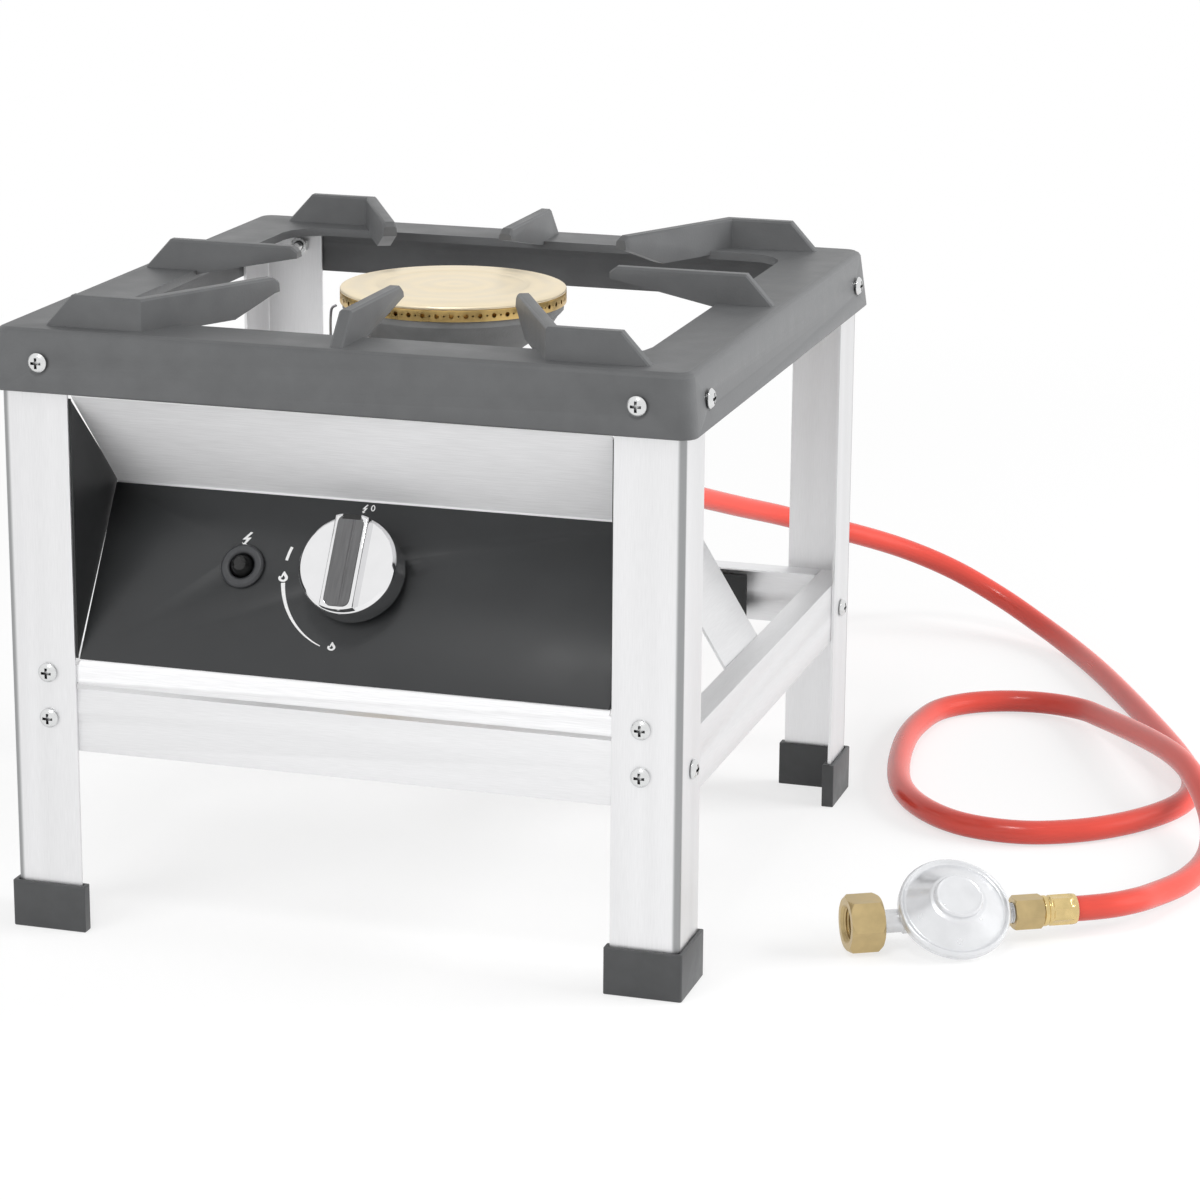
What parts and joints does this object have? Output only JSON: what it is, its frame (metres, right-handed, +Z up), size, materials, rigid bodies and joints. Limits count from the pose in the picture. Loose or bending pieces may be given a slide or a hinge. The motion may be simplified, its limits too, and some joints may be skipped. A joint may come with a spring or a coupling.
{
  "type": "stock pot range",
  "caption": "Low square gas stock pot range: cast pot support on folded steel legs, round burner, slanted panel with knob and igniter, gas hose with regulator.",
  "frame": {"origin": "on the floor under the burner's centre: the middle of the feet's footprint", "axes": "+Z up, -Y towards the control panel and the cook, +X towards the cook's right, where the hose lies"},
  "size_m": [0.6664, 0.815, 0.374],
  "materials": {
    "enamel": "dark grey satin enamel on cast iron",
    "stainless": "satin folded stainless sheet",
    "panel": "dark grey satin",
    "foot_plastic": "moulded black",
    "black_gloss": "glossy black",
    "burner_iron": "bare grey casting",
    "brass": "machined",
    "cap_brass": "pale satin",
    "plated": "bright zinc plate",
    "knob_chrome": "polished",
    "insert_grey": "grey strip",
    "black_steel": "black satin",
    "pipe_metal": "soft copper tube",
    "ceramic": "white glazed ceramic",
    "hose": "orange red smooth rubber"
  },
  "bodies": {
    "frame": {"grate_casting": "enamel", "leg_front_left": "stainless", "leg_front_right": "stainless", "leg_back_left": "stainless", "leg_back_right": "stainless", "foot_front_left": "foot_plastic", "foot_front_right": "foot_plastic", "foot_back_left": "foot_plastic", "foot_back_right": "foot_plastic", "rail_front": "stainless", "rail_back": "stainless", "rail_left": "stainless", "rail_right": "stainless", "control_housing": "stainless", "control_panel": "panel", "cheek_left": "panel", "cheek_right": "panel", "burner_bridge": "stainless", "burner_body": "burner_iron", "burner_ring": "brass", "injector": "brass", "gas_valve": "brass", "igniter_body": "black_gloss", "burner_pipe": "pipe_metal", "inlet_pipe": "pipe_metal", "inlet_fitting": "brass", "rear_bracket": "black_steel", "thermocouple": "pipe_metal", "ignition_electrode": "ceramic", "pilot_bracket": "plated", "gas_hose": "hose", "hose_inlet_nut": "brass", "hose_inlet_ferrule": "brass", "hose_outlet_ferrule": "brass", "hose_outlet_nut": "brass", "regulator_body": "plated", "regulator_cover": "plated", "screw_top_front_left_face": "plated", "screw_top_front_left_side": "plated", "screw_top_front_right_face": "plated", "screw_top_front_right_side": "plated", "screw_top_back_left_face": "plated", "screw_top_back_left_side": "plated", "screw_top_back_right_face": "plated", "screw_top_back_right_side": "plated", "screw_rail_front_left_face": "plated", "screw_rail_front_left_side": "plated", "screw_rail_front_right_face": "plated", "screw_rail_front_right_side": "plated", "screw_rail_back_left_side": "plated", "screw_rail_back_right_side": "plated", "screw_ledge_left": "plated", "screw_ledge_right": "plated"},
    "stem": {"valve_stem": "plated"},
    "knob": {"knob": "knob_chrome", "knob_insert": "insert_grey"},
    "igniter_button": {"igniter_button": "black_gloss"},
    "burner_cap": {"burner_cap": "cap_brass"},
    "air_shutter": {"air_shutter": "plated"},
    "cylinder_nut": {"cylinder_nut": "brass"}
  },
  "joints": [
    {"name": "knob_push", "type": "slide", "parent": "frame", "child": "stem", "axis": [0, 0.8444, -0.5357], "range_m": [0, 0.004], "stiffness_N_per_m": 500},
    {"name": "knob_turn", "type": "hinge", "parent": "stem", "child": "knob", "pos_m": [0, -0.16371, 0.21804], "axis": [0, -0.8444, 0.5357], "range_deg": [0, 185]},
    {"name": "igniter_push", "type": "slide", "parent": "frame", "child": "igniter_button", "axis": [0, 0.8444, -0.5357], "range_m": [0, 0.005], "stiffness_N_per_m": 400},
    {"name": "burner_cap_lift", "type": "slide", "parent": "frame", "child": "burner_cap", "axis": [0, 0, 1], "range_m": [0, 0.04]},
    {"name": "air_shutter_turn", "type": "hinge", "parent": "frame", "child": "air_shutter", "pos_m": [0, -0.1, 0.287], "axis": [0, -1, 0], "range_deg": [0, 90]},
    {"name": "cylinder_nut_turn", "type": "hinge", "parent": "frame", "child": "cylinder_nut", "pos_m": [0.2797, -0.0924, 0.0175], "axis": [-0.8755, -0.4833, 0], "continuous": true}
  ]
}
